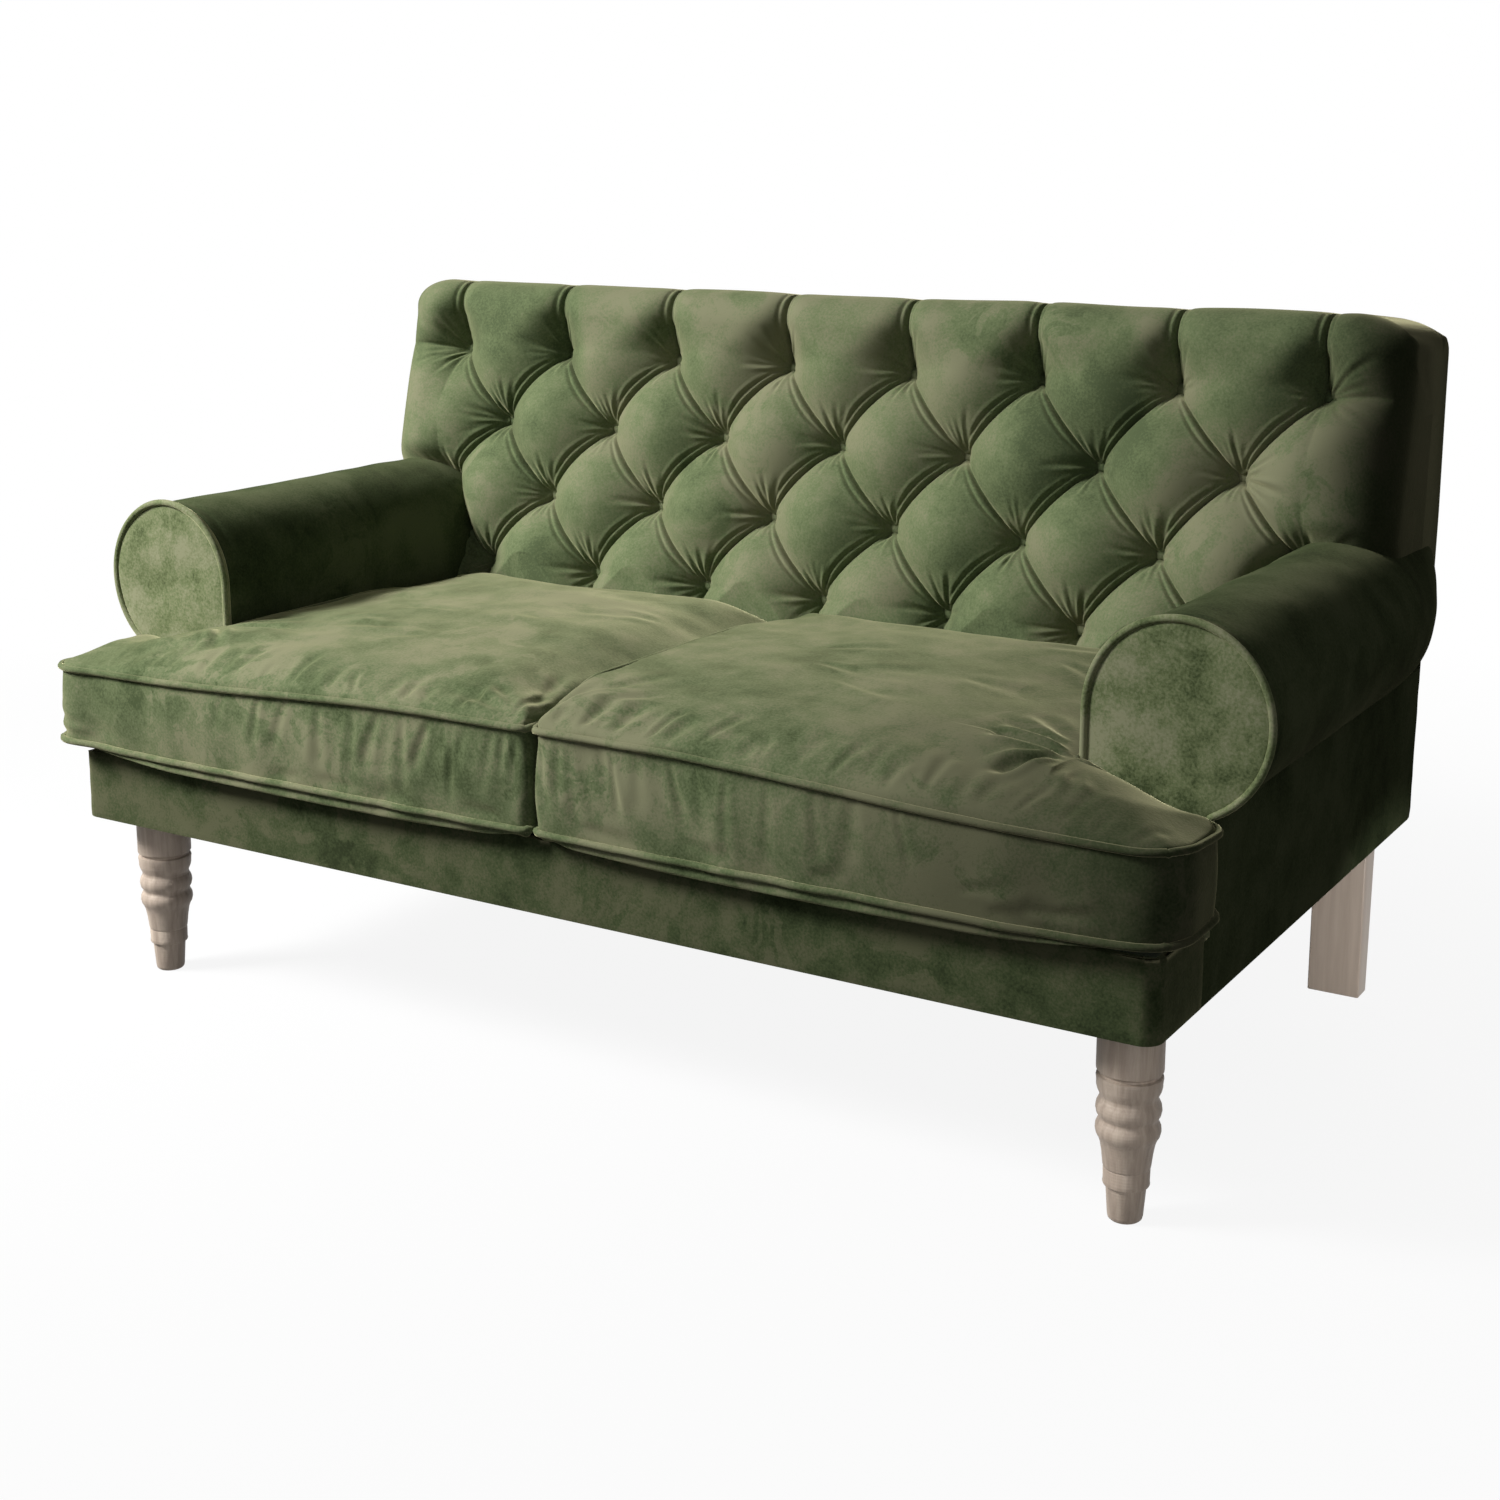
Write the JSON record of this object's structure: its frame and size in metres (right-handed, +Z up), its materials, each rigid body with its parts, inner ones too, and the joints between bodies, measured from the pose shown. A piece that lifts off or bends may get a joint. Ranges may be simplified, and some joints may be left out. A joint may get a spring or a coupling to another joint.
{
  "type": "chesterfield sofa",
  "caption": "Compact velvet sofa with a raked buttoned back, rolled arms, loose T-shaped seat cushions that lift off, turned front legs and square rear legs.",
  "frame": {"origin": "on the floor under the middle of the bounding box", "axes": "+X to the right of someone who looks at the front, +Y to the rear, +Z up; the seat opens towards -Y"},
  "size_m": [1.636, 0.96, 0.904],
  "materials": {
    "velvet": "crushed cotton-blend velvet, moss green, blotchy nap",
    "weathered_oak": "limewashed grey-brown, satin, worn ridges",
    "pine": "planed, unfinished",
    "fibreboard": "bent hard fibreboard, raw",
    "steel": "bright spring wire and pressed strip",
    "webbing": "woven elastic upholstery webbing",
    "deck_cloth": "plain woven cotton over felt",
    "dust_cloth": "black non-woven cloth",
    "foam": "cushion foam in a fibre wrap"
  },
  "bodies": {
    "sofa_frame": {"front_border": "velvet", "back_pad": "velvet", "outside_back": "velvet", "arm_pad_left": "velvet", "arm_facing_left": "velvet", "side_panel_left": "velvet", "arm_pad_right": "velvet", "arm_facing_right": "velvet", "side_panel_right": "velvet", "front_leg_left": "weathered_oak", "rear_leg_left": "weathered_oak", "front_leg_right": "weathered_oak", "rear_leg_right": "weathered_oak", "front_rail": "pine", "rear_seat_rail": "pine", "back_rail": "pine", "centre_brace": "pine", "back_lower_rail": "pine", "back_top_rail": "pine", "back_centre_post": "pine", "back_tack_rail": "pine", "side_rail_left": "pine", "front_corner_block_left": "pine", "rear_corner_block_left": "pine", "scroll_board_left": "pine", "arm_board_left": "pine", "arm_post_left": "pine", "back_post_left": "pine", "side_rail_right": "pine", "front_corner_block_right": "pine", "rear_corner_block_right": "pine", "scroll_board_right": "pine", "arm_board_right": "pine", "arm_post_right": "pine", "back_post_right": "pine", "arm_former_left": "fibreboard", "arm_former_right": "fibreboard", "front_spring_clip_strip": "steel", "rear_spring_clip_strip": "steel", "seat_spring_1": "steel", "seat_spring_2": "steel", "seat_spring_3": "steel", "seat_spring_4": "steel", "seat_spring_5": "steel", "seat_spring_6": "steel", "front_leg_bolt_left": "steel", "rear_leg_bolt_left": "steel", "front_leg_bolt_right": "steel", "rear_leg_bolt_right": "steel", "back_strap_1": "webbing", "back_strap_2": "webbing", "back_strap_3": "webbing", "back_strap_4": "webbing", "seat_deck": "deck_cloth", "dust_cover": "dust_cloth"},
    "cushion_left": {"cushion_cover_left": "velvet", "cushion_core_left": "foam"},
    "cushion_right": {"cushion_cover_right": "velvet", "cushion_core_right": "foam"}
  },
  "joints": [
    {"name": "cushion_left_lift", "type": "slide", "parent": "sofa_frame", "child": "cushion_left", "axis": [0, 0, 1], "range_m": [0, 0.35]},
    {"name": "cushion_right_lift", "type": "slide", "parent": "sofa_frame", "child": "cushion_right", "axis": [0, 0, 1], "range_m": [0, 0.35]}
  ]
}
